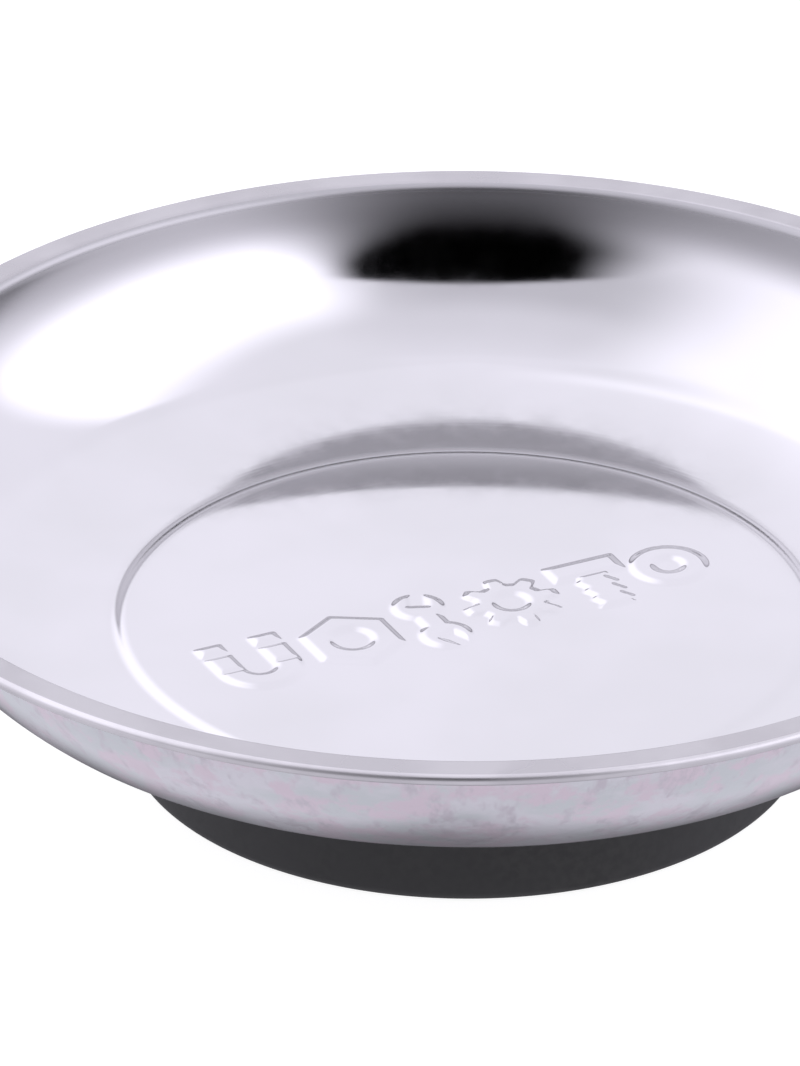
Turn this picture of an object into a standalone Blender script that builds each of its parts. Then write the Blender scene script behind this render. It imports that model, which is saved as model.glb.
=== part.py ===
"""Magnetic parts tray: a pressed stainless bowl standing on a rubber-booted ring magnet.

Everything is turned about the +Z axis.  The origin is the centre of the base's underside, so the
tray stands on z = 0.  All lengths are in metres.

The stack from the bench upwards: rubber boot, pole plate, ring magnet, bowl.  The pole plate is
drawn up in the middle into a crown that centres the ring magnet.  A stud welded under the bowl
passes through the crown, and a nut on two washers clamps the stack from below, inside the well
that the crown and the boot leave open.
"""

import math

import bmesh
import bpy

# Bowl, pressed from one sheet
RIM_RADIUS = 0.0750          # to the outside of the hemmed lip
BOWL_DEPTH = 0.0199          # from the top of the lip down to the raised disc
SHEET = 0.0007               # sheet thickness
LIP_WIDTH = 0.0031           # from the outside of the hem to where the lip bends down
LIP_BEND = 0.0012            # radius of the bend between lip and wall, on the inside face
HEM_THICKNESS = 0.0015       # the lip's edge, folded under and pressed flat
HEM_LEAF = 0.0021            # how far the folded edge reaches in from the outside of the hem
WALL_LEAN = math.radians(17.5)      # wall under the lip, from upright
HEEL_RADIUS = 0.0089         # curve between floor and wall, on the inside face
HEEL_SLOPE = math.radians(38.6)     # slope at which the heel runs into the wall's long curve
FLOOR_SLOPE_OUTSIDE = math.radians(12.7)    # the dished floor where it meets the heel
FLOOR_SLOPE_INSIDE = math.radians(1.1)      # the dished floor where it meets the step
STEP_HEIGHT = 0.0005         # from the raised disc down to the surrounding floor
STEP_RUN = 0.0022            # width of the S-shaped step between the two

# Ring magnet
MAGNET_RADIUS = 0.0360
MAGNET_BORE = 0.0160         # radius
MAGNET_HEIGHT = 0.0104
MAGNET_CHAMFER = 0.0005

# Pole plate, pressed steel with a drawn crown
PLATE_THICKNESS = 0.0020
PLATE_OVERHANG = 0.0015      # how far the plate reaches past the magnet's outside
PLATE_BEND = 0.0010          # radius on the outside of the crown's top edge

# Rubber boot
BOOT_FLOOR = 0.0022          # rubber under the plate
BOOT_WALL = 0.0022           # rubber outside the plate, at the foot
BOOT_DRAFT = 0.0007          # how much narrower the boot is at its top
BOOT_FOOT_RADIUS = 0.0012    # rounding of the outside bottom edge
BOOT_TOP_RADIUS = 0.0006     # rounding of the outside top edge
WELL_RADIUS = 0.0125         # hole in the boot's floor that gives access to the nut
GRIP_GROOVES = 3             # ring grooves in the underside
GROOVE_WIDTH = 0.0014
GROOVE_DEPTH = 0.0008
GRIP_LAND = 0.0030           # flat rubber outside the outermost groove, inside the rounded edge

# Fastening, M6
STUD_RADIUS = 0.0030
STUD_FLANGE_RADIUS = 0.0050
STUD_FLANGE = 0.0010         # thickness of the welded flange
STUD_TAIL = 0.0012           # stud left showing below the nut
STUD_CHAMFER = 0.0005
WASHER_RADIUS = 0.0060
WASHER_THICKNESS = 0.0016
SPRING_WASHER_RADIUS = 0.0056
SPRING_WASHER_THICKNESS = 0.0016
SPRING_WASHER_SPLIT = math.radians(14.0)
NUT_FLATS = 0.0100           # across flats
NUT_HEIGHT = 0.0032
NUT_CHAMFER = 0.0006

# Fits
GAP = 0.0003                 # kept between faces that bear on each other
THREAD_GAP = 0.0003          # radial gap between the stud and what is threaded on it
DISC_MARGIN = 0.0003         # the raised disc is this much wider than the top of the boot

# Roundness
BOWL_SIDES = 64
BASE_SIDES = 48
FASTENER_SIDES = 24
CHORD_ERROR = 0.00005        # most that the straight pieces of an arc may cut its corner by
SHARP_EDGE = math.radians(32.0)

# Levels, from the bench upwards
PLATE_Z = BOOT_FLOOR + GAP
MAGNET_Z = PLATE_Z + PLATE_THICKNESS + GAP
MAGNET_TOP = MAGNET_Z + MAGNET_HEIGHT
BOWL_UNDERSIDE = MAGNET_TOP + GAP
DISC_Z = BOWL_UNDERSIDE + SHEET
FLOOR_Z = DISC_Z - STEP_HEIGHT
RIM_Z = DISC_Z + BOWL_DEPTH
FLANGE_Z = BOWL_UNDERSIDE - GAP - STUD_FLANGE
CROWN_TOP = FLANGE_Z - GAP
CROWN_UNDERSIDE = CROWN_TOP - PLATE_THICKNESS
WASHER_Z = CROWN_UNDERSIDE - GAP - WASHER_THICKNESS
SPRING_WASHER_Z = WASHER_Z - GAP - SPRING_WASHER_THICKNESS
NUT_Z = SPRING_WASHER_Z - GAP - NUT_HEIGHT
STUD_END = NUT_Z - STUD_TAIL

# Radii that follow from the magnet
PLATE_RADIUS = MAGNET_RADIUS + PLATE_OVERHANG
CROWN_RADIUS = MAGNET_BORE - GAP
BOOT_RADIUS = PLATE_RADIUS + GAP + BOOT_WALL
BOOT_TOP = BOOT_RADIUS - BOOT_DRAFT
DISC_RADIUS = BOOT_TOP + DISC_MARGIN
CLEARANCE_HOLE = STUD_RADIUS + THREAD_GAP


def clear_scene():
    for old in list(bpy.data.objects):
        bpy.data.objects.remove(old, do_unlink=True)


def make_material(name, colour, metallic, roughness):
    material = bpy.data.materials.new(name)
    material.use_nodes = True
    shader = material.node_tree.nodes["Principled BSDF"]
    shader.inputs["Base Color"].default_value = (*colour, 1.0)
    shader.inputs["Metallic"].default_value = metallic
    shader.inputs["Roughness"].default_value = roughness
    return material


def arc(centre_r, centre_z, radius, start, end):
    """Points on an arc in the (r, z) half plane, with angles from the +r direction."""
    widest = 2.0 * math.acos(1.0 - min(CHORD_ERROR / radius, 0.5))
    steps = max(1, math.ceil(abs(end - start) / widest))
    points = []
    for i in range(steps + 1):
        angle = start + (end - start) * i / steps
        points.append((centre_r + radius * math.cos(angle), centre_z + radius * math.sin(angle)))
    return points


def tidy_outline(points):
    """Drop points that repeat the one before them."""
    kept = [points[0]]
    for point in points[1:]:
        if math.dist(point, kept[-1]) > 1e-6:
            kept.append(point)
    return kept


def offset_path(points, distance):
    """The path moved sideways by distance, to the right of its direction of travel."""
    moved = []
    last = len(points) - 1
    for i, (r, z) in enumerate(points):
        before = points[max(i - 1, 0)]
        after = points[min(i + 1, last)]
        normals = []
        for start, end in ((before, (r, z)), ((r, z), after)):
            length = math.dist(start, end)
            if length > 0.0:
                normals.append(((end[1] - start[1]) / length, (start[0] - end[0]) / length))
        nr = sum(n[0] for n in normals) / len(normals)
        nz = sum(n[1] for n in normals) / len(normals)
        square = nr * nr + nz * nz
        moved.append((r + distance * nr / square, z + distance * nz / square))
    return moved


def turned(name, outline, sides, material, angle=2.0 * math.pi):
    """Spin an outline about Z.  The outline closes on itself, or starts and ends on the axis."""
    bm = bmesh.new()
    verts = [bm.verts.new((r, 0.0, z)) for r, z in tidy_outline(outline)]
    edges = [bm.edges.new(pair) for pair in zip(verts, verts[1:])]
    full_turn = angle > 2.0 * math.pi - 1e-6
    if outline[0][0] > 1e-7:
        edges.append(bm.edges.new((verts[-1], verts[0])))
    caps = [] if full_turn else [bm.faces.new(verts)]
    swept = bmesh.ops.spin(
        bm, geom=verts + edges, cent=(0.0, 0.0, 0.0), axis=(0.0, 0.0, 1.0), dvec=(0.0, 0.0, 0.0),
        angle=angle, steps=sides, use_merge=full_turn, use_normal_flip=False, use_duplicate=False)
    if caps:
        end_edges = [e for e in swept["geom_last"] if isinstance(e, bmesh.types.BMEdge)]
        bmesh.ops.contextual_create(bm, geom=end_edges)
    bmesh.ops.remove_doubles(bm, verts=bm.verts, dist=1e-6)
    bmesh.ops.recalc_face_normals(bm, faces=bm.faces)
    return finish_object(name, bm, material)


def finish_object(name, bm, material):
    mesh = bpy.data.meshes.new(name)
    bm.to_mesh(mesh)
    bm.free()
    mesh.shade_smooth()
    mesh.set_sharp_from_angle(angle=SHARP_EDGE)
    mesh.materials.append(material)
    built = bpy.data.objects.new(name, mesh)
    bpy.context.scene.collection.objects.link(built)
    return built


def bowl_inside():
    """The bowl's upper face, from the centre of the disc out to the start of the hem."""
    # The step down from the disc is two equal arcs that meet at mid height.
    step_turn = 2.0 * math.atan2(STEP_HEIGHT, STEP_RUN)
    step_bend = STEP_RUN / (2.0 * math.sin(step_turn))
    step_end = DISC_RADIUS + STEP_RUN
    down = -0.5 * math.pi
    up = 0.5 * math.pi
    path = [(0.0, DISC_Z)]
    path += arc(DISC_RADIUS, DISC_Z - step_bend, step_bend, up, up - step_turn)
    path += arc(step_end, FLOOR_Z + step_bend, step_bend, down - step_turn, down)

    # Slopes and radii are given for the heel and the bend under the lip.  The dished floor and the
    # wall's long curve then have the two radii that carry the surface from the step to the lip.
    wall_slope = 0.5 * math.pi - WALL_LEAN
    lip_start = RIM_RADIUS - LIP_WIDTH
    run = lip_start - step_end
    run -= HEEL_RADIUS * (math.sin(HEEL_SLOPE) - math.sin(FLOOR_SLOPE_OUTSIDE))
    run -= LIP_BEND * math.sin(wall_slope)
    rise = RIM_Z - FLOOR_Z
    rise -= HEEL_RADIUS * (math.cos(FLOOR_SLOPE_OUTSIDE) - math.cos(HEEL_SLOPE))
    rise -= LIP_BEND * (1.0 - math.cos(wall_slope))
    floor_run = math.sin(FLOOR_SLOPE_OUTSIDE) - math.sin(FLOOR_SLOPE_INSIDE)
    floor_rise = math.cos(FLOOR_SLOPE_INSIDE) - math.cos(FLOOR_SLOPE_OUTSIDE)
    side_run = math.sin(wall_slope) - math.sin(HEEL_SLOPE)
    side_rise = math.cos(HEEL_SLOPE) - math.cos(wall_slope)
    scale = floor_run * side_rise - floor_rise * side_run
    floor_radius = (run * side_rise - rise * side_run) / scale
    side_radius = (rise * floor_run - run * floor_rise) / scale

    # Each curve starts where the one before it ends, at the slope that it ends with.
    for radius, start, end in (
            (floor_radius, FLOOR_SLOPE_INSIDE, FLOOR_SLOPE_OUTSIDE),
            (HEEL_RADIUS, FLOOR_SLOPE_OUTSIDE, HEEL_SLOPE),
            (side_radius, HEEL_SLOPE, wall_slope)):
        r, z = path[-1]
        centre_r = r - radius * math.sin(start)
        centre_z = z + radius * math.cos(start)
        path += arc(centre_r, centre_z, radius, down + start, down + end)
    path += arc(lip_start, RIM_Z - LIP_BEND, LIP_BEND, up + wall_slope, up)
    return tidy_outline(path)


def make_dish(material):
    inside = bowl_inside()
    outside = offset_path(inside, SHEET)
    outside[0] = (0.0, BOWL_UNDERSIDE)
    hem_radius = 0.5 * HEM_THICKNESS
    hem_r = RIM_RADIUS - hem_radius
    hem_z = RIM_Z - hem_radius
    hem = arc(hem_r, hem_z, hem_radius, 0.5 * math.pi, 0.0)
    hem += arc(hem_r, hem_z, hem_radius, 0.0, -0.5 * math.pi)
    leaf_end = RIM_RADIUS - HEM_LEAF
    leaf = [(leaf_end, RIM_Z - HEM_THICKNESS), (leaf_end, RIM_Z - SHEET)]
    return turned("dish", inside + hem + leaf + outside[::-1], BOWL_SIDES, material)


def make_magnet(material):
    c = MAGNET_CHAMFER
    outline = []
    corners = (
        (MAGNET_BORE, MAGNET_Z, 1, 1), (MAGNET_RADIUS, MAGNET_Z, -1, 1),
        (MAGNET_RADIUS, MAGNET_TOP, -1, -1), (MAGNET_BORE, MAGNET_TOP, 1, -1))
    for i, (r, z, to_r, to_z) in enumerate(corners):
        cut = [(r, z + c * to_z), (r + c * to_r, z)]
        outline += cut if i % 2 == 0 else cut[::-1]
    return turned("magnet_ring", outline, BASE_SIDES, material)


def make_plate(material):
    top = PLATE_Z + PLATE_THICKNESS
    bore = CROWN_RADIUS - PLATE_THICKNESS
    bend = PLATE_BEND
    outline = [(CLEARANCE_HOLE, CROWN_TOP)]
    outline += arc(CROWN_RADIUS - bend, CROWN_TOP - bend, bend, 0.5 * math.pi, 0.0)
    outline += [(CROWN_RADIUS, top), (PLATE_RADIUS, top), (PLATE_RADIUS, PLATE_Z)]
    outline += arc(bore + bend, PLATE_Z + bend, bend, -0.5 * math.pi, -math.pi)
    outline += [(bore, CROWN_UNDERSIDE), (CLEARANCE_HOLE, CROWN_UNDERSIDE)]
    return turned("pole_plate", outline, BASE_SIDES, material)


def make_boot(material):
    plate_room = PLATE_RADIUS + GAP
    magnet_room = MAGNET_RADIUS + GAP
    ledge = PLATE_Z + PLATE_THICKNESS + GAP
    foot = BOOT_FOOT_RADIUS
    top = BOOT_TOP_RADIUS
    outline = [(WELL_RADIUS, 0.0)]

    # The grooves are spread evenly over the underside.
    first = WELL_RADIUS + GRIP_LAND
    span = BOOT_RADIUS - foot - GRIP_LAND - GROOVE_WIDTH - first
    for i in range(GRIP_GROOVES):
        start = first + span * (i + 1) / GRIP_GROOVES
        end = start + GROOVE_WIDTH
        outline += [(start, 0.0), (start, GROOVE_DEPTH), (end, GROOVE_DEPTH), (end, 0.0)]

    outline += arc(BOOT_RADIUS - foot, foot, foot, -0.5 * math.pi, 0.0)
    outline += arc(BOOT_TOP - top, MAGNET_TOP - top, top, 0.0, 0.5 * math.pi)
    outline += [(magnet_room, MAGNET_TOP), (magnet_room, ledge)]
    outline += [(plate_room, ledge), (plate_room, BOOT_FLOOR), (WELL_RADIUS, BOOT_FLOOR)]
    return turned("rubber_boot", outline, BASE_SIDES, material)


def make_stud(material):
    tip = STUD_RADIUS - STUD_CHAMFER
    outline = [
        (0.0, FLANGE_Z + STUD_FLANGE), (STUD_FLANGE_RADIUS, FLANGE_Z + STUD_FLANGE),
        (STUD_FLANGE_RADIUS, FLANGE_Z), (STUD_RADIUS, FLANGE_Z),
        (STUD_RADIUS, STUD_END + STUD_CHAMFER), (tip, STUD_END), (0.0, STUD_END)]
    return turned("weld_stud", outline, FASTENER_SIDES, material)


def ring_outline(inner, outer, low, height):
    return [(inner, low), (outer, low), (outer, low + height), (inner, low + height)]


def make_washer(material):
    outline = ring_outline(CLEARANCE_HOLE, WASHER_RADIUS, WASHER_Z, WASHER_THICKNESS)
    return turned("flat_washer", outline, FASTENER_SIDES, material)


def make_spring_washer(material):
    outline = ring_outline(
        CLEARANCE_HOLE, SPRING_WASHER_RADIUS, SPRING_WASHER_Z, SPRING_WASHER_THICKNESS)
    around = 2.0 * math.pi - SPRING_WASHER_SPLIT
    return turned("spring_washer", outline, FASTENER_SIDES, material, around)


def make_nut(material):
    """A hexagon cut from a chamfered round blank."""
    corner = 0.5 * NUT_FLATS / math.cos(math.radians(30.0))
    shoulder = corner - NUT_CHAMFER * 2.0
    high = NUT_Z + NUT_HEIGHT
    outline = [
        (CLEARANCE_HOLE, NUT_Z), (shoulder, NUT_Z), (corner + GAP, NUT_Z + NUT_CHAMFER),
        (corner + GAP, high - NUT_CHAMFER), (shoulder, high), (CLEARANCE_HOLE, high)]
    nut = turned("hex_nut", outline, FASTENER_SIDES, material)

    bm = bmesh.new()
    bmesh.ops.create_cone(
        bm, cap_ends=True, segments=6, radius1=corner, radius2=corner, depth=NUT_HEIGHT * 2.0)
    bmesh.ops.translate(bm, verts=bm.verts, vec=(0.0, 0.0, NUT_Z + 0.5 * NUT_HEIGHT))
    blank = finish_object("hexagon_cutter", bm, material)
    blank.hide_render = True
    blank.display_type = "WIRE"
    cut = nut.modifiers.new("hexagon", "BOOLEAN")
    cut.operation = "INTERSECT"
    cut.solver = "EXACT"
    cut.object = blank
    return nut


def main():
    clear_scene()
    stainless = make_material("stainless", (0.80, 0.79, 0.82), 1.0, 0.14)
    rubber = make_material("black_rubber", (0.028, 0.028, 0.030), 0.0, 0.72)
    ferrite = make_material("ferrite", (0.045, 0.044, 0.046), 0.0, 0.55)
    zinc = make_material("zinc_plate", (0.66, 0.67, 0.68), 1.0, 0.34)
    make_dish(stainless)
    make_stud(stainless)
    make_magnet(ferrite)
    make_plate(zinc)
    make_boot(rubber)
    make_washer(zinc)
    make_spring_washer(zinc)
    make_nut(zinc)


main()
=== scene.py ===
import math

import bmesh
import bpy
from mathutils import Matrix, Vector


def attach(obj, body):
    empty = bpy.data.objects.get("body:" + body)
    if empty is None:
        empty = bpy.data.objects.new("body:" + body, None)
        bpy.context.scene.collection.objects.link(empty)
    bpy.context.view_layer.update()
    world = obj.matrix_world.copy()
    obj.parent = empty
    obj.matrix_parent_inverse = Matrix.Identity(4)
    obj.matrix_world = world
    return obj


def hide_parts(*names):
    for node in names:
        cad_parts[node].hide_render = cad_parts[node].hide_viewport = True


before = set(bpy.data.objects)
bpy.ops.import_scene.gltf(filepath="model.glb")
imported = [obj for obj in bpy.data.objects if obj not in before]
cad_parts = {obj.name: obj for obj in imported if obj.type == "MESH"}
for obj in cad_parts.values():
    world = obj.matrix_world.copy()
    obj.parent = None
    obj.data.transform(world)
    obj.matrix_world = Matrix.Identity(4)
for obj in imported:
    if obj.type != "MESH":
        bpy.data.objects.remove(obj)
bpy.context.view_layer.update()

MM = 0.001
PIXELS_PER_MM = 8.234         # in a picture 768 pixels wide
CAMERA_ELEVATION = math.radians(28.34)
CAMERA_DISTANCE = 3.0
CAMERA_ROLL = math.radians(0.18)
PICTURE_WIDTH = 768.0
AIM_LEFT = 7.78               # in millimetres, from the middle of the lip's plane
AIM_DOWN = 7.96

# The dish, in millimetres, as in the frame
RIM_RADIUS = 75.0
RIM_Z = 36.1
DISC_Z = 16.2
DISC_RADIUS = 39.6
STEP_HEIGHT = 0.5
STEP_RUN = 2.2
SHEET = 0.7
LIP_WIDTH = 3.1
LIP_BEND = 1.2
LIP_DROOP = math.radians(3.0)
HEM_THICKNESS = 1.5
HEM_LEAF = 2.1
FLOOR_SLOPES = (math.radians(1.1), math.radians(12.7))
HEEL_RADIUS = 8.9
HEEL_SLOPE = math.radians(38.6)
WALL_SLOPE = math.radians(72.5)
ROUND = 320

# Share of the light that the polished steel gives back
STEEL = 0.62

# Height that the disc's crown loses, in metres, per squared metre from the axis
DISC_CROWN = 0.260

# Distances from the axis, in millimetres, of the flat rings round the disc's edge
FLAT_RINGS = (38.4, 39.2)

# Where the finish of the inside changes, in metres: two heights, and the step's band of radii
SATIN_Z = (0.0285, 0.0335)
BEND_Z = (0.0348, 0.0358)
STEP_INSIDE = (0.0385, 0.0398)
STEP_OUTSIDE = (0.0430, 0.0417)


# ---------------------------------------------------------------- shapes

def arc(centre_r, centre_z, radius, start, end, step=math.radians(3.0)):
    """Points on an arc in the (r, z) half plane."""
    count = max(2, math.ceil(abs(end - start) / step))
    points = []
    for i in range(count + 1):
        angle = start + (end - start) * i / count
        points.append((centre_r + radius * math.cos(angle), centre_z + radius * math.sin(angle)))
    return points


def line(start, end, count):
    """Points evenly spread from start to end, without the first."""
    points = []
    for i in range(1, count + 1):
        t = i / count
        points.append((start[0] + (end[0] - start[0]) * t, start[1] + (end[1] - start[1]) * t))
    return points


def tidy(points):
    """The path without points that all but coincide."""
    kept = [points[0]]
    for point in points[1:]:
        if math.dist(point, kept[-1]) > 0.002:
            kept.append(point)
    return kept


def offset(points, distance):
    """The path moved sideways, to the right of its direction of travel."""
    moved = []
    last = len(points) - 1
    for i, (r, z) in enumerate(points):
        a = points[max(i - 1, 0)]
        b = points[min(i + 1, last)]
        length = math.dist(a, b)
        moved.append((r + distance * (b[1] - a[1]) / length, z - distance * (b[0] - a[0]) / length))
    return moved


def finish_mesh(name, bm, materials, sharp=35.0):
    mesh = bpy.data.meshes.new(name)
    bmesh.ops.recalc_face_normals(bm, faces=bm.faces)
    bm.to_mesh(mesh)
    bm.free()
    mesh.shade_smooth()
    mesh.set_sharp_from_angle(angle=math.radians(sharp))
    for material in materials:
        mesh.materials.append(material)
    built = bpy.data.objects.new(name, mesh)
    bpy.context.scene.collection.objects.link(built)
    return built


def lathe(bm, outline, sides, closed=True, slots=None, shape=None):
    """Sweep an outline in millimetres round Z and return its rings of vertices."""
    rings = []
    for r, z in outline:
        ring = []
        if r < 1e-6:
            ring = [bm.verts.new((0.0, 0.0, z * MM))]
        else:
            for i in range(sides):
                angle = 2.0 * math.pi * i / sides
                wide, high = shape(r, z, angle) if shape else (r, z)
                where = (wide * MM * math.cos(angle), wide * MM * math.sin(angle), high * MM)
                ring.append(bm.verts.new(where))
        rings.append(ring)
    pairs = list(zip(rings, rings[1:]))
    if closed:
        pairs.append((rings[-1], rings[0]))
    for k, (low, high) in enumerate(pairs):
        for i in range(sides):
            j = (i + 1) % sides
            if len(low) == 1:
                corners = (low[0], high[i], high[j])
            elif len(high) == 1:
                corners = (low[i], high[0], low[j])
            else:
                corners = (low[i], high[i], high[j], low[j])
            face = bm.faces.new(corners)
            face.material_index = slots[k] if slots else 0
    return rings


def turned(name, outline, sides, materials, closed=True, shape=None, sharp=35.0):
    bm = bmesh.new()
    lathe(bm, tidy(outline), sides, closed, None, shape)
    return finish_mesh(name, bm, materials, sharp)


# ---------------------------------------------------------------- the dish

def bowl_path():
    """The bowl's upper face from the edge of the raised disc to the start of the lip."""
    turn = 2.0 * math.atan2(STEP_HEIGHT, STEP_RUN)
    bend = STEP_RUN / (2.0 * math.sin(turn))
    step_end = DISC_RADIUS + STEP_RUN
    floor_z = DISC_Z - STEP_HEIGHT
    down = -0.5 * math.pi
    up = 0.5 * math.pi
    inner, outer = FLOOR_SLOPES
    fine = math.radians(4.0)
    path = arc(DISC_RADIUS, DISC_Z - bend, bend, up, up - turn, fine)
    path += arc(step_end, floor_z + bend, bend, down - turn, down + inner, fine)

    lip_start = RIM_RADIUS - LIP_WIDTH
    start_r, start_z = path[-1]
    run = lip_start - start_r - HEEL_RADIUS * (math.sin(HEEL_SLOPE) - math.sin(outer))
    run -= LIP_BEND * math.sin(WALL_SLOPE)
    rise = RIM_Z - start_z - HEEL_RADIUS * (math.cos(outer) - math.cos(HEEL_SLOPE))
    rise -= LIP_BEND * (1.0 - math.cos(WALL_SLOPE))
    floor_run = math.sin(outer) - math.sin(inner)
    floor_rise = math.cos(inner) - math.cos(outer)
    side_run = math.sin(WALL_SLOPE) - math.sin(HEEL_SLOPE)
    side_rise = math.cos(HEEL_SLOPE) - math.cos(WALL_SLOPE)
    scale = floor_run * side_rise - floor_rise * side_run
    floor_radius = (run * side_rise - rise * side_run) / scale
    side_radius = (rise * floor_run - run * floor_rise) / scale
    for radius, start, end, step in (
            (floor_radius, inner, outer, 0.6),
            (HEEL_RADIUS, outer, HEEL_SLOPE, 2.0),
            (side_radius, HEEL_SLOPE, WALL_SLOPE, 1.2)):
        r, z = path[-1]
        centre_r = r - radius * math.sin(start)
        centre_z = z + radius * math.cos(start)
        path += arc(centre_r, centre_z, radius, down + start, down + end, math.radians(step))
    path += arc(
        lip_start, RIM_Z - LIP_BEND, LIP_BEND, up + WALL_SLOPE, up - LIP_DROOP, math.radians(7.0))
    return tidy(path)


def capsule(u, v, start, end, radius):
    """Distance from (u, v) to a round-ended bar."""
    along = (end[0] - start[0], end[1] - start[1])
    t = ((u - start[0]) * along[0] + (v - start[1]) * along[1]) / (along[0] ** 2 + along[1] ** 2)
    t = min(max(t, 0.0), 1.0)
    return math.hypot(u - start[0] - along[0] * t, v - start[1] - along[1] * t) - radius


def block(u, v, centre_u, centre_v, half_u, half_v):
    """Distance from (u, v) to a rectangle."""
    du = abs(u - centre_u) - half_u
    dv = abs(v - centre_v) - half_v
    return math.hypot(max(du, 0.0), max(dv, 0.0)) + min(max(du, dv), 0.0)


def hexagon(u, v, flats):
    """Distance from (u, v) to a hexagon, given across its flats."""
    angle = math.atan2(v, u)
    sector = math.radians(60.0)
    angle = (angle + 0.5 * sector) % sector - 0.5 * sector
    return math.hypot(u, v) * math.cos(angle) - 0.5 * flats


def magnet_sign(u, v):
    """Horseshoe magnet with its two poles."""
    bend = max(abs(math.hypot(u, v + 1.0) - 3.5) - 1.5, v + 1.0)
    legs = min(block(u, v, -3.5, 0.9, 1.5, 1.9), block(u, v, 3.5, 0.9, 1.5, 1.9))
    poles = min(block(u, v, -3.5, 4.7, 1.5, 0.9), block(u, v, 3.5, 4.7, 1.5, 0.9))
    return min(bend, legs, poles)


def nut_sign(u, v):
    return max(hexagon(u, v, 10.4), 2.5 - math.hypot(u, v))


def spanner_sign(u, v):
    """Double open-ended spanner, standing on end."""
    best = capsule(u, v, (0.0, -3.4), (0.0, 3.4), 1.4)
    for side in (-1.0, 1.0):
        from_v = (v - 3.7 * side) * side
        head = math.hypot(u, from_v) - 2.9
        along = from_v * 0.92 + u * 0.39
        across = u * 0.92 - from_v * 0.39
        jaw = block(along, across, 2.6, 0.0, 2.6, 1.15)
        best = min(max(best, -jaw), max(head, -jaw))
    return best


def gear_sign(u, v):
    """Gear with eight teeth and a bore."""
    wave = math.cos(8.0 * math.atan2(v, u))
    outside = math.hypot(u, v) - 4.9 - 0.75 * min(max(2.0 * wave, -1.0), 1.0)
    return max(outside, 2.1 - math.hypot(u, v))


def bolt_sign(u, v):
    """Bolt from the side, with its head on top."""
    grooves = 0.5 * (0.5 - 0.5 * math.cos(2.0 * math.pi * (v + 0.2 * u) / 2.1))
    shank = block(u, v, 0.0, -1.9, 2.2 - grooves, 3.9)
    return min(block(u, v, 0.0, 3.6, 4.3, 1.7), shank)


def washer_sign(u, v):
    return abs(math.hypot(u, v) - 3.1) - 1.3


# Each sign with its place along the row and how far it reaches
SIGNS = (
    (magnet_sign, -26.0, 6.2),
    (nut_sign, -13.4, 6.3),
    (spanner_sign, -3.0, 4.0),
    (gear_sign, 7.4, 6.4),
    (bolt_sign, 18.6, 4.8),
    (washer_sign, 28.0, 5.2))
SIGN_HEIGHT = 0.38
SIGN_FLANK = 1.35
SIGN_TURN = math.radians(26.6)
SIGN_CENTRE = (-1.3, -0.4)
PATCH = (68.0, 16.0)
PATCH_STEP = 0.25


def sign_height(u, v):
    """Height of the pressed row of signs above the disc."""
    best = 1e9
    for sign, centre, reach in SIGNS:
        if abs(u - centre) < reach:
            best = min(best, sign(u - centre, v))
    t = min(max(0.5 - best / SIGN_FLANK, 0.0), 1.0)
    return SIGN_HEIGHT * t * t * (3.0 - 2.0 * t)


def pressed_disc(bm, ring):
    """The raised disc, with a fine patch for the pressed signs, inside a ring of vertices."""
    columns = round(PATCH[0] / PATCH_STEP)
    rows = round(PATCH[1] / PATCH_STEP)
    cos = math.cos(SIGN_TURN)
    sin = math.sin(SIGN_TURN)
    grid = []
    for j in range(rows + 1):
        row = []
        for i in range(columns + 1):
            u = (i / columns - 0.5) * PATCH[0]
            v = (j / rows - 0.5) * PATCH[1]
            x = SIGN_CENTRE[0] + u * cos - v * sin
            y = SIGN_CENTRE[1] + u * sin + v * cos
            row.append(bm.verts.new((x * MM, y * MM, (DISC_Z + sign_height(u, v)) * MM)))
        grid.append(row)
    for low, high in zip(grid, grid[1:]):
        for i in range(columns):
            bm.faces.new((low[i], low[i + 1], high[i + 1], high[i]))
    border = grid[0] + [row[-1] for row in grid[1:-1]] + grid[-1][::-1]
    border += [row[0] for row in grid[-2:0:-1]]
    edges = []
    for loop in (border, ring):
        for a, b in zip(loop, loop[1:] + loop[:1]):
            edges.append(bm.edges.get((a, b)) or bm.edges.new((a, b)))
    bmesh.ops.triangle_fill(bm, use_beauty=True, edges=edges, normal=(0.0, 0.0, 1.0))


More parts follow.
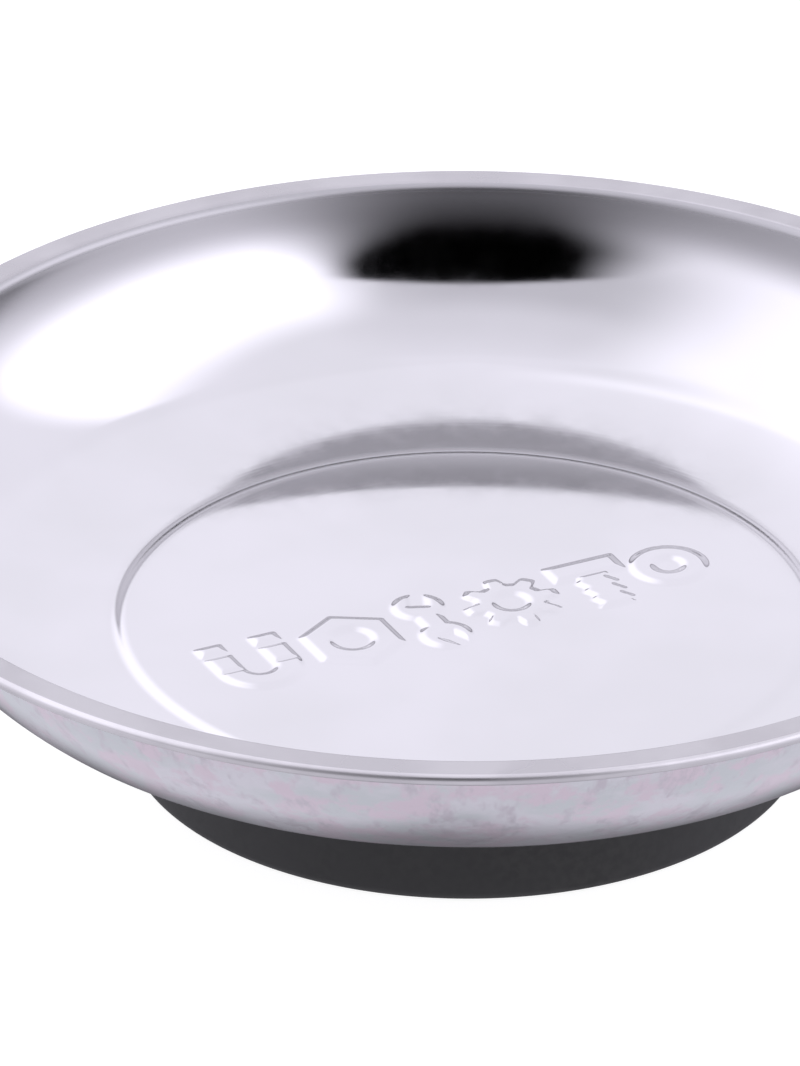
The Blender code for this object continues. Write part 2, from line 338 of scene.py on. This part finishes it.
def dish_visual(polished, lip_finish, hem_painted_highlight, outside_finish):
    inside = bowl_path()
    outside = offset(inside, SHEET)
    hem = 0.5 * HEM_THICKNESS
    hem_r = RIM_RADIUS - hem
    lip_end = inside[-1]
    reach = hem_r - lip_end[0]
    top = (hem_r, lip_end[1] - reach * math.tan(LIP_DROOP))
    hem_z = top[1] - hem
    lip = line(lip_end, top, 6)
    edge = arc(hem_r, hem_z, hem, 0.5 * math.pi - LIP_DROOP, -0.5 * math.pi, math.radians(7.0))
    leaf_end = RIM_RADIUS - HEM_LEAF
    fold = 0.5 * (HEM_THICKNESS - SHEET) - 0.04
    leaf = line(edge[-1], (leaf_end + fold, hem_z - hem), 3)
    leaf += arc(leaf_end + fold, hem_z - hem + fold, fold, -0.5 * math.pi, -1.5 * math.pi, 0.4)
    leaf += line(leaf[-1], (hem_r - 0.1, hem_z - hem + 2.0 * fold), 3)
    slit = [(hem_r - 0.02, hem_z - hem + 2.0 * fold + 0.04)]
    slit += [(hem_r - 0.1, hem_z + hem - SHEET)]

    outline = inside + lip + edge + leaf + slit + outside[::-1]
    outline = tidy(outline)
    lip_segments = 5
    first_lip = len(tidy(inside)) - lip_segments
    last_lip = len(tidy(inside + lip)) + 2
    last_hem = len(tidy(inside + lip + edge)) + 1
    slots = []
    for k in range(len(outline)):
        slots.append(0 if k < first_lip else 1 if k < last_lip else 2 if k < last_hem else 3)
    bm = bmesh.new()
    flats = [(r, DISC_Z) for r in FLAT_RINGS]
    rings = lathe(bm, flats + outline, ROUND, False, [0] * len(flats) + slots)
    pressed_disc(bm, rings[0])
    under = bm.faces.new(rings[-1])
    under.material_index = 3
    return finish_mesh("dish_visual", bm, (polished, lip_finish, hem_painted_highlight, outside_finish), 40.0)


# ---------------------------------------------------------------- the base

BOOT_RADIUS = 40.0
BOOT_TOP = 39.3
BOOT_FLOOR = 2.2
PLATE_Z = 2.5
PLATE_RADIUS = 37.5
MAGNET_Z = 4.8
MAGNET_TOP = 15.2
MAGNET_RADIUS = 36.0
CROWN_TOP = 13.9
WASHER_Z = 10.0
SPRING_WASHER_Z = 8.1
NUT_Z = 4.6
NUT_HEIGHT = 3.2
FLANGE_Z = 14.2
STUD_END = 3.4


def boot_visual(rubber):
    """The rubber boot, with soft edges and ring grooves underneath."""
    outline = arc(13.3, 0.8, 0.8, -math.pi, -0.5 * math.pi, 0.3)
    first = 15.5
    span = BOOT_RADIUS - 1.2 - 3.0 - 1.4 - first
    for i in range(3):
        start = first + span * (i + 1) / 3.0
        end = start + 1.4
        outline += arc(start - 0.25, 0.25, 0.25, -0.5 * math.pi, 0.0, 0.4)
        outline += arc(start + 0.3, 0.5, 0.3, math.pi, 0.5 * math.pi, 0.4)
        outline += arc(end - 0.3, 0.5, 0.3, 0.5 * math.pi, 0.0, 0.4)
        outline += arc(end + 0.25, 0.25, 0.25, math.pi, 1.5 * math.pi, 0.4)
    outline += arc(BOOT_RADIUS - 1.2, 1.2, 1.2, -0.5 * math.pi, 0.0, 0.15)
    outline += line(outline[-1], (BOOT_TOP, MAGNET_TOP - 0.6), 10)
    outline += arc(BOOT_TOP - 0.6, MAGNET_TOP - 0.6, 0.6, 0.0, 0.5 * math.pi, 0.15)
    inside = MAGNET_RADIUS + 0.3
    outline += arc(inside + 0.4, MAGNET_TOP - 0.4, 0.4, 0.5 * math.pi, math.pi, 0.4)
    outline += [(inside, MAGNET_Z), (PLATE_RADIUS + 0.3, MAGNET_Z), (PLATE_RADIUS + 0.3, BOOT_FLOOR)]
    outline += [(12.9, BOOT_FLOOR), (12.5, BOOT_FLOOR - 0.4)]
    return turned("boot_visual", outline, 240, (rubber,))


def magnet_visual(ferrite):
    low = MAGNET_Z + 0.5
    high = MAGNET_TOP - 0.5
    outline = []
    for r, z, start in ((16.5, low, 1.0), (35.5, low, 1.5), (35.5, high, 2.0), (16.5, high, 2.5)):
        outline += arc(r, z, 0.5, start * math.pi, (start + 0.5) * math.pi, 0.35)
    return turned("magnet_visual", outline, 180, (ferrite,))


def plate_visual(zinc):
    """The pole plate, pressed with a crown and soft at its edges."""
    up = 0.5 * math.pi
    outline = arc(3.45, CROWN_TOP - 0.15, 0.15, 2.0 * up, up, 0.5)
    outline += arc(14.7, CROWN_TOP - 1.0, 1.0, up, 0.0, 0.2)
    outline += arc(16.1, PLATE_Z + 2.4, 0.4, 2.0 * up, 3.0 * up, 0.3)
    outline += arc(PLATE_RADIUS - 0.3, PLATE_Z + 1.7, 0.3, up, 0.0, 0.4)
    outline += arc(PLATE_RADIUS - 0.3, PLATE_Z + 0.3, 0.3, 0.0, -up, 0.4)
    outline += arc(14.7, PLATE_Z + 1.0, 1.0, 3.0 * up, 2.0 * up, 0.2)
    outline += arc(13.2, CROWN_TOP - 2.5, 0.5, 0.0, up, 0.3)
    outline += [(3.45, CROWN_TOP - 2.0), (3.3, CROWN_TOP - 1.85)]
    return turned("plate_visual", outline, 180, (zinc,))


# ---------------------------------------------------------------- the fastening

def thread_wave(z, angle):
    """One turn of an M6 thread, 0 at its root and 1 at its crest."""
    t = (z - angle / (2.0 * math.pi)) % 1.0
    wave = 1.0 - abs(2.0 * t - 1.0)
    return min(max(1.25 * wave - 0.1, 0.0), 1.0)


def stud_visual(steel):
    top = FLANGE_Z - 1.0

    def shape(r, z, angle):
        if 2.95 < r < 3.01 and z < top:
            fade = min(1.0, (z - STUD_END - 0.3) / 0.8, (top - z) / 1.0)
            return r - 0.55 * (1.0 - thread_wave(z, angle)) * max(fade, 0.0), z
        return r, z

    up = 0.5 * math.pi
    outline = [(0.0, FLANGE_Z + 1.0)]
    outline += arc(4.8, FLANGE_Z + 0.8, 0.2, up, 0.0, 0.5)
    outline += arc(4.8, FLANGE_Z + 0.2, 0.2, 0.0, -up, 0.5)
    outline += arc(3.3, FLANGE_Z - 0.3, 0.3, up, 2.0 * up, 0.4)
    outline += line((3.0, FLANGE_Z - 0.6), (3.0, STUD_END + 0.45), 80)
    outline += [(2.5, STUD_END + 0.02), (1.2, STUD_END), (0.9, STUD_END + 0.2)]
    outline += [(0.0, STUD_END + 0.25)]
    return turned("stud_visual", outline, 60, (steel,), False, shape, 50.0)


def nut_visual(zinc):
    """Thin M6 nut: a hexagon with chamfered corners and a threaded bore."""
    high = NUT_Z + NUT_HEIGHT

    def shape(r, z, angle):
        if r < 3.5:
            inside = NUT_Z + 0.1 < z < high - 0.1
            return r + 0.35 * (1.0 - thread_wave(z, angle)) * inside, z
        sector = math.radians(60.0)
        off = (angle + 0.5 * sector) % sector - 0.5 * sector
        return min(r, 4.98 / math.cos(off)), z

    chamfer = ((4.6, 0.0), (5.0, 0.03), (5.35, 0.3), (5.77, 0.55))
    outline = [(3.75, NUT_Z)] + [(r, NUT_Z + rise) for r, rise in chamfer]
    outline += [(5.77, NUT_Z + 1.2), (5.77, NUT_Z + 2.0)]
    outline += [(r, high - rise) for r, rise in chamfer[::-1]] + [(3.75, high), (3.3, high - 0.3)]
    outline += line((3.3, high - 0.3), (3.3, NUT_Z + 0.3), 26)
    return turned("nut_visual", outline, 144, (zinc,), True, shape, 28.0)


def washer_visual(zinc):
    low = WASHER_Z
    outline = [(3.3, low + 0.2), (3.5, low)]
    outline += arc(5.75, low + 0.25, 0.25, -0.5 * math.pi, 0.0, 0.4)
    outline += arc(5.88, low + 1.48, 0.12, 0.0, 0.5 * math.pi, 0.6)
    outline += [(3.3, low + 1.6)]
    return turned("washer_visual", outline, 96, (zinc,))


def spring_washer_visual(spring_steel):
    """A coil of square wire, pressed flat, with its slanting split."""
    bm = bmesh.new()
    sides = 90
    rings = []
    low = SPRING_WASHER_Z
    section = ((3.4, 0.0), (5.45, 0.0), (5.6, 0.15), (5.6, 1.45), (5.45, 1.6), (3.4, 1.6))
    section += ((3.27, 1.45), (3.27, 0.15))
    for i in range(sides + 1):
        ring = []
        for r, rise in section:
            angle = math.radians(10.0 + 348.0 * i / sides) + 0.09 * (rise - 0.8)
            where = (r * MM * math.cos(angle), r * MM * math.sin(angle), (low + rise) * MM)
            ring.append(bm.verts.new(where))
        rings.append(ring)
    count = len(section)
    for near, far in zip(rings, rings[1:]):
        for i in range(count):
            j = (i + 1) % count
            bm.faces.new((near[i], near[j], far[j], far[i]))
    bm.faces.new(rings[0])
    bm.faces.new(rings[-1][::-1])
    return finish_mesh("spring_washer_visual", bm, (spring_steel,), 30.0)


# ---------------------------------------------------------------- node building

class Nodes:
    """Short ways to add nodes to one tree."""

    def __init__(self, tree):
        self.tree = tree

    def add(self, kind, **settings):
        node = self.tree.nodes.new(kind)
        for name, value in settings.items():
            setattr(node, name, value)
        return node

    def put(self, value, socket):
        if isinstance(value, bpy.types.NodeSocket):
            self.tree.links.new(value, socket)
        else:
            socket.default_value = value

    def math(self, operation, a, b=0.0):
        node = self.add("ShaderNodeMath", operation=operation)
        self.put(a, node.inputs[0])
        self.put(b, node.inputs[1])
        return node.outputs[0]

    def ramp(self, value, low, high, to_low=0.0, to_high=1.0):
        """Smooth passage between two levels as value goes from low to high."""
        node = self.add("ShaderNodeMapRange", interpolation_type="SMOOTHSTEP")
        for socket, setting in zip(node.inputs, (value, low, high, to_low, to_high)):
            self.put(setting, socket)
        return node.outputs[0]

    def blend(self, factor, a, b):
        node = self.add("ShaderNodeMix", data_type="FLOAT")
        self.put(factor, node.inputs["Factor"])
        self.put(a, node.inputs[2])
        self.put(b, node.inputs[3])
        return node.outputs[0]

    def colours(self, factor, a, b):
        node = self.add("ShaderNodeMix", data_type="RGBA")
        self.put(factor, node.inputs[0])
        self.put(a, node.inputs[6])
        self.put(b, node.inputs[7])
        return node.outputs[2]

    def noise(self, vector, scale, detail=2.0, roughness=0.5, stretch=None):
        if stretch:
            mapping = self.add("ShaderNodeMapping")
            self.put(vector, mapping.inputs["Vector"])
            mapping.inputs["Scale"].default_value = stretch
            vector = mapping.outputs[0]
        node = self.add("ShaderNodeTexNoise")
        self.put(vector, node.inputs["Vector"])
        node.inputs["Scale"].default_value = scale
        node.inputs["Detail"].default_value = detail
        node.inputs["Roughness"].default_value = roughness
        return node.outputs[0]

    def bump(self, height, distance, strength=1.0, normal=None):
        node = self.add("ShaderNodeBump")
        node.inputs["Strength"].default_value = strength
        node.inputs["Distance"].default_value = distance
        self.put(height, node.inputs["Height"])
        if normal is not None:
            self.put(normal, node.inputs["Normal"])
        return node.outputs[0]

    def polar(self):
        """Object coordinates, the distance from the axis and the height, in metres."""
        place = self.add("ShaderNodeTexCoord").outputs["Object"]
        parts = self.add("ShaderNodeSeparateXYZ")
        self.put(place, parts.inputs[0])
        across = self.add("ShaderNodeCombineXYZ")
        self.put(parts.outputs[0], across.inputs[0])
        self.put(parts.outputs[1], across.inputs[1])
        length = self.add("ShaderNodeVectorMath", operation="LENGTH")
        self.put(across.outputs[0], length.inputs[0])
        return place, length.outputs["Value"], parts.outputs[2]

    def lines(self, radius, per_metre, detail=3.0):
        """Noise that only changes with the distance from the axis, as polishing leaves it."""
        node = self.add("ShaderNodeTexNoise", noise_dimensions="1D")
        self.put(self.math("MULTIPLY", radius, per_metre), node.inputs["W"])
        node.inputs["Scale"].default_value = 1.0
        node.inputs["Detail"].default_value = detail
        return node.outputs[0]


def new_material(name, metallic, specular=0.5):
    material = bpy.data.materials.new(name)
    material.use_nodes = True
    nodes = Nodes(material.node_tree)
    shader = material.node_tree.nodes["Principled BSDF"]
    shader.inputs["Metallic"].default_value = metallic
    shader.inputs["Specular IOR Level"].default_value = specular
    return material, nodes, shader.inputs


# ---------------------------------------------------------------- finishes

def polished_steel():
    """Stainless steel, polished in rings as far as the wheel reaches and satin above that."""
    material, nodes, shader = new_material("polished_steel", 1.0)
    place, radius, height = nodes.polar()
    rings = nodes.lines(radius, 1800.0)
    cloud = nodes.noise(place, 35.0, 3.0)
    haze = nodes.noise(place, 220.0, 4.0, 0.6)
    light = (STEEL * 1.02, STEEL * 1.01, STEEL * 1.03, 1.0)
    dull = (STEEL * 0.97, STEEL * 0.965, STEEL * 0.975, 1.0)
    satin = (0.405, 0.40, 0.41, 1.0)
    unpolished = nodes.ramp(height, *SATIN_Z)
    tone = nodes.colours(nodes.ramp(cloud, 0.35, 0.65), light, dull)
    nodes.put(nodes.colours(unpolished, tone, satin), shader["Base Color"])
    rough = nodes.ramp(haze, 0.25, 0.75, 0.045, 0.095)
    rough = nodes.blend(unpolished, rough, 0.19)
    rough = nodes.blend(nodes.ramp(height, *BEND_Z), rough, 0.40)
    on_step = nodes.math(
        "MULTIPLY", nodes.ramp(radius, *STEP_INSIDE), nodes.ramp(radius, *STEP_OUTSIDE))
    rough = nodes.blend(on_step, rough, 0.17)
    nodes.put(rough, shader["Roughness"])

    # The disc looks crowned by 0.4 mm. This is a bump only: the mesh is flat there.
    from_axis = nodes.math("MINIMUM", radius, DISC_RADIUS * MM)
    square = nodes.math("MULTIPLY", from_axis, from_axis)
    normal = nodes.bump(nodes.math("MULTIPLY", square, -DISC_CROWN), 1.0)
    normal = nodes.bump(nodes.noise(place, 22.0, 1.0), 0.00006, 1.0, normal)
    normal = nodes.bump(rings, 0.0000005, 1.0, normal)
    nodes.put(normal, shader["Normal"])
    return material


def lip_steel(name, tone, rough):
    """The rolled lip, which the polishing wheel has hardly reached. The brighter copy made for the
    rolled edge is painted highlight.
    """
    material, nodes, shader = new_material(name, 1.0)
    place, radius = nodes.polar()[:2]
    cloud = nodes.noise(place, 90.0, 3.0)
    light = (tone * 1.05, tone * 1.03, tone * 1.05, 1.0)
    dull = (tone * 0.95, tone * 0.93, tone * 0.95, 1.0)
    nodes.put(nodes.colours(nodes.ramp(cloud, 0.35, 0.65), light, dull), shader["Base Color"])
    nodes.put(nodes.ramp(cloud, 0.3, 0.7, rough - 0.04, rough + 0.04), shader["Roughness"])
    nodes.put(nodes.bump(nodes.lines(radius, 2500.0), 0.0000015), shader["Normal"])
    return material


def outside_steel():
    """The outside, left dull from the press, with green-grey stains, faint smears and pink patches
    of painted reflection.
    """
    material, nodes, shader = new_material("outside_steel", 1.0)
    place = nodes.polar()[0]
    pink_reflection_mask = nodes.noise(place, 210.0, 5.0, 0.65)
    patches = nodes.noise(place, 80.0, 4.0, 0.6, (1.0, 1.0, 2.0))
    smears = nodes.noise(place, 420.0, 3.0, 0.6, (1.0, 1.0, 0.15))
    # The pink patches are painted reflection, laid into the colour through a noise mask.
    painted_pink_reflection = (0.635, 0.555, 0.600, 1.0)
    grey = (0.560, 0.585, 0.590, 1.0)
    pale = (0.64, 0.63, 0.655, 1.0)
    dim = (0.53, 0.50, 0.53, 1.0)
    mixed = nodes.colours(nodes.ramp(patches, 0.38, 0.62), grey, pale)
    mixed = nodes.colours(nodes.ramp(pink_reflection_mask, 0.45, 0.60), mixed, painted_pink_reflection)
    mixed = nodes.colours(nodes.ramp(smears, 0.50, 0.72), mixed, dim)
    nodes.put(mixed, shader["Base Color"])
    nodes.put(nodes.ramp(patches, 0.3, 0.7, 0.14, 0.24), shader["Roughness"])
    fine = nodes.noise(place, 900.0, 2.0)
    normal = nodes.bump(nodes.noise(place, 60.0, 2.0), 0.00003)
    normal = nodes.bump(smears, 0.000008, 1.0, normal)
    nodes.put(nodes.bump(fine, 0.000001, 1.0, normal), shader["Normal"])
    return material


def black_rubber():
    material, nodes, shader = new_material("black_rubber", 0.0, 0.32)
    place = nodes.polar()[0]
    cloud = nodes.noise(place, 70.0, 4.0, 0.6)
    dust = nodes.noise(place, 900.0, 3.0)
    dark = (0.0225, 0.0225, 0.0232, 1.0)
    worn = (0.0300, 0.0298, 0.0300, 1.0)
    mixed = nodes.math("MULTIPLY", nodes.ramp(cloud, 0.3, 0.7), nodes.ramp(dust, 0.3, 0.7))
    nodes.put(nodes.colours(mixed, dark, worn), shader["Base Color"])
    nodes.put(nodes.ramp(cloud, 0.3, 0.7, 0.62, 0.74), shader["Roughness"])
    nodes.put(nodes.bump(dust, 0.00002), shader["Normal"])
    return material


def ferrite():
    material, nodes, shader = new_material("ferrite", 0.0, 0.4)
    place = nodes.polar()[0]
    grain = nodes.noise(place, 1500.0, 3.0)
    cloud = nodes.noise(place, 120.0, 3.0)
    dark = (0.035, 0.034, 0.036, 1.0)
    pale = (0.075, 0.074, 0.078, 1.0)
    nodes.put(nodes.colours(nodes.ramp(cloud, 0.35, 0.7), dark, pale), shader["Base Color"])
    nodes.put(nodes.ramp(grain, 0.3, 0.7, 0.42, 0.62), shader["Roughness"])
    nodes.put(nodes.bump(grain, 0.00003), shader["Normal"])
    return material


def zinc(name, tone):
    """Bright zinc plating with a faint cloudiness and fine rings."""
    material, nodes, shader = new_material(name, 1.0)
    place, radius = nodes.polar()[:2]
    cloud = nodes.noise(place, 180.0, 4.0, 0.6)
    light = (tone, tone * 1.01, tone * 1.03, 1.0)
    dull = (tone * 0.80, tone * 0.81, tone * 0.79, 1.0)
    nodes.put(nodes.colours(nodes.ramp(cloud, 0.35, 0.7), light, dull), shader["Base Color"])
    nodes.put(nodes.ramp(cloud, 0.3, 0.7, 0.26, 0.42), shader["Roughness"])
    rings = nodes.lines(radius, 3000.0)
    nodes.put(nodes.bump(rings, 0.000004), shader["Normal"])
    return material


# ---------------------------------------------------------------- light and camera

def light_tent():
    """A tent round the object, with a wash, a softbox and the dark gap round the camera."""
    world = bpy.data.worlds.new("tent")
    bpy.context.scene.world = world
    world.use_nodes = True
    tree = world.node_tree
    tree.nodes.clear()
    nodes = Nodes(tree)
    direction = nodes.add("ShaderNodeTexCoord").outputs["Generated"]
    parts = nodes.add("ShaderNodeSeparateXYZ")
    nodes.put(direction, parts.inputs[0])
    x, y, z = parts.outputs
    towards = nodes.math("MULTIPLY", y, -1.0)
    azimuth = nodes.math("DEGREES", nodes.math("ARCTAN2", x, towards))
    elevation = nodes.math("DEGREES", nodes.math("ARCSINE", z))
    aside = nodes.math("ABSOLUTE", azimuth)

    def panel(azimuths, elevations, inside, outside):
        """Blend to another level inside a soft-edged window, given from edge to edge."""
        out_left, in_left, in_right, out_right = azimuths
        out_low, in_low, in_high, out_high = elevations
        mask = nodes.math(
            "MULTIPLY", nodes.ramp(azimuth, out_left, in_left),
            nodes.ramp(azimuth, out_right, in_right))
        mask = nodes.math("MULTIPLY", mask, nodes.ramp(elevation, out_low, in_low))
        mask = nodes.math("MULTIPLY", mask, nodes.ramp(elevation, out_high, in_high))
        return nodes.blend(mask, outside, inside)

    # The tent, a little darker low down at the back, and its roof above the camera
    level = nodes.ramp(elevation, 14.0, 26.0, 0.71, 0.785)
    level = nodes.blend(nodes.ramp(aside, 120.0, 150.0), 0.76, level)
    level = panel((-85.0, -30.0, 15.0, 50.0), (20.0, 40.0, 58.0, 84.0), 0.65, level)
    level = panel((-62.0, -23.0, 3.0, 30.0), (20.0, 40.0, 47.0, 60.0), 0.51, level)

    # The long soft wash on the left, the softbox on the right, and a dim corner low on the left
    level = panel((-180.0, -152.0, -80.0, -36.0), (8.0, 24.0, 56.0, 80.0), 1.04, level)
    level = panel((18.0, 42.0, 100.0, 112.0), (8.0, 23.0, 43.0, 60.0), 1.25, level)
    level = panel((-100.0, -35.0, -15.0, 10.0), (-20.0, -5.0, 5.0, 24.0), 0.40, level)

    # The gap for the camera, with edges that soften and spread lower down and a bowed top
    dark = nodes.ramp(elevation, 6.0, 24.0, 0.15, 0.0)
    edges = (
        nodes.ramp(elevation, 20.0, 38.0, -50.0, -37.5),
        nodes.ramp(elevation, 15.0, 30.0, -9.0, -21.5),
        nodes.ramp(elevation, 17.0, 36.0, 4.0, 22.0),
        nodes.ramp(elevation, 14.0, 36.0, 53.0, 32.5))
    bow = nodes.math("MULTIPLY", nodes.math("MULTIPLY", azimuth, azimuth), -0.008)
    top = nodes.math("ADD", bow, 44.0)
    level = panel(edges, (-20.0, -8.0, top, nodes.math("ADD", top, 2.6)), dark, level)

    # Below the horizon the table is seen, shaded where it lies under the bowl
    table = nodes.ramp(elevation, -90.0, -60.0, 0.52, 0.555)
    shade = nodes.ramp(elevation, -90.0, -58.0, 0.42, 0.14)
    shade = nodes.blend(nodes.ramp(elevation, -58.0, -30.0), shade, 0.07)
    table = nodes.blend(nodes.ramp(aside, 146.0, 180.0), table, shade)
    level = nodes.blend(nodes.ramp(elevation, -8.0, -26.0), level, table)

    strength = nodes.math("DIVIDE", level, STEEL)
    tent = nodes.add("ShaderNodeBackground")
    tent.inputs["Color"].default_value = (0.999, 0.979, 1.089, 1.0)
    nodes.put(strength, tent.inputs["Strength"])
    plain = nodes.add("ShaderNodeBackground")
    plain.inputs["Color"].default_value = (1.0, 1.0, 1.0, 1.0)
    plain.inputs["Strength"].default_value = 1.2
    chosen = nodes.add("ShaderNodeMixShader")
    seen = nodes.add("ShaderNodeLightPath").outputs["Is Camera Ray"]
    nodes.put(seen, chosen.inputs[0])
    nodes.put(tent.outputs[0], chosen.inputs[1])
    nodes.put(plain.outputs[0], chosen.inputs[2])
    output = nodes.add("ShaderNodeOutputWorld")
    nodes.put(chosen.outputs[0], output.inputs["Surface"])


def bench():
    """The plain pale floor."""
    bm = bmesh.new()
    bmesh.ops.create_grid(bm, x_segments=1, y_segments=1, size=3.0)
    material, nodes, shader = new_material("bench", 0.0, 0.2)
    shader["Base Color"].default_value = (0.30, 0.30, 0.30, 1.0)
    shader["Roughness"].default_value = 0.9
    shader["Emission Color"].default_value = (1.0, 1.0, 1.0, 1.0)
    shader["Emission Strength"].default_value = 0.90
    floor = finish_mesh("bench", bm, (material,))
    floor.visible_glossy = False


def place_camera():
    camera = bpy.data.objects.new("camera", bpy.data.cameras.new("camera"))
    bpy.context.scene.collection.objects.link(camera)
    back = Vector((0.0, -math.cos(CAMERA_ELEVATION), math.sin(CAMERA_ELEVATION)))
    across = Vector((1.0, 0.0, 0.0))
    upward = back.cross(across)
    width = PICTURE_WIDTH / PIXELS_PER_MM * MM
    rim = Vector((0.0, 0.0, RIM_Z * MM))
    target = rim - across * AIM_LEFT * MM - upward * AIM_DOWN * MM
    turn = Matrix.Rotation(CAMERA_ROLL, 3, back)
    axes = Matrix((across, upward, back)).transposed()
    camera.matrix_world = Matrix.LocRotScale(target + back * CAMERA_DISTANCE, turn @ axes, None)
    camera.data.sensor_fit = "HORIZONTAL"
    camera.data.sensor_width = 36.0
    camera.data.lens = 36.0 * CAMERA_DISTANCE / width
    camera.data.clip_start = 0.1
    camera.data.clip_end = 50.0
    camera.data.dof.use_dof = False
    bpy.context.scene.camera = camera


# ---------------------------------------------------------------- the scene

def main():
    view = bpy.context.scene.view_settings
    view.view_transform = "Standard"
    view.look = "None"
    rubber = black_rubber()
    bright = zinc("zinc_bright", 0.66)
    spring = zinc("zinc_dark", 0.42)
    steel = polished_steel()
    lip = lip_steel("lip_steel", 0.452, 0.24)
    # The rolled edge is the same steel as the lip with a brighter tone, 0.575 against 0.452: painted
    # highlight along the edge, which also lightens the shade on its underside.
    hem = lip_steel("hem_steel_painted_highlight", 0.575, 0.36)
    pieces = (
        (dish_visual(steel, lip, hem, outside_steel()), "dish", "stainless_steel"),
        (boot_visual(rubber), "rubber_boot", "black_rubber"),
        (magnet_visual(ferrite()), "magnet_ring", "ferrite"),
        (plate_visual(bright), "pole_plate", "zinc_plated_steel"),
        (stud_visual(steel), "weld_stud", "stainless_steel"),
        (nut_visual(bright), "hex_nut", "zinc_plated_steel"),
        (washer_visual(bright), "flat_washer", "zinc_plated_steel"),
        (spring_washer_visual(spring), "spring_washer", "zinc_plated_steel"),
    )
    for piece, node, slot in pieces:
        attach(piece, "root")
        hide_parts(node)
    light_tent()
    bench()
    place_camera()


main()
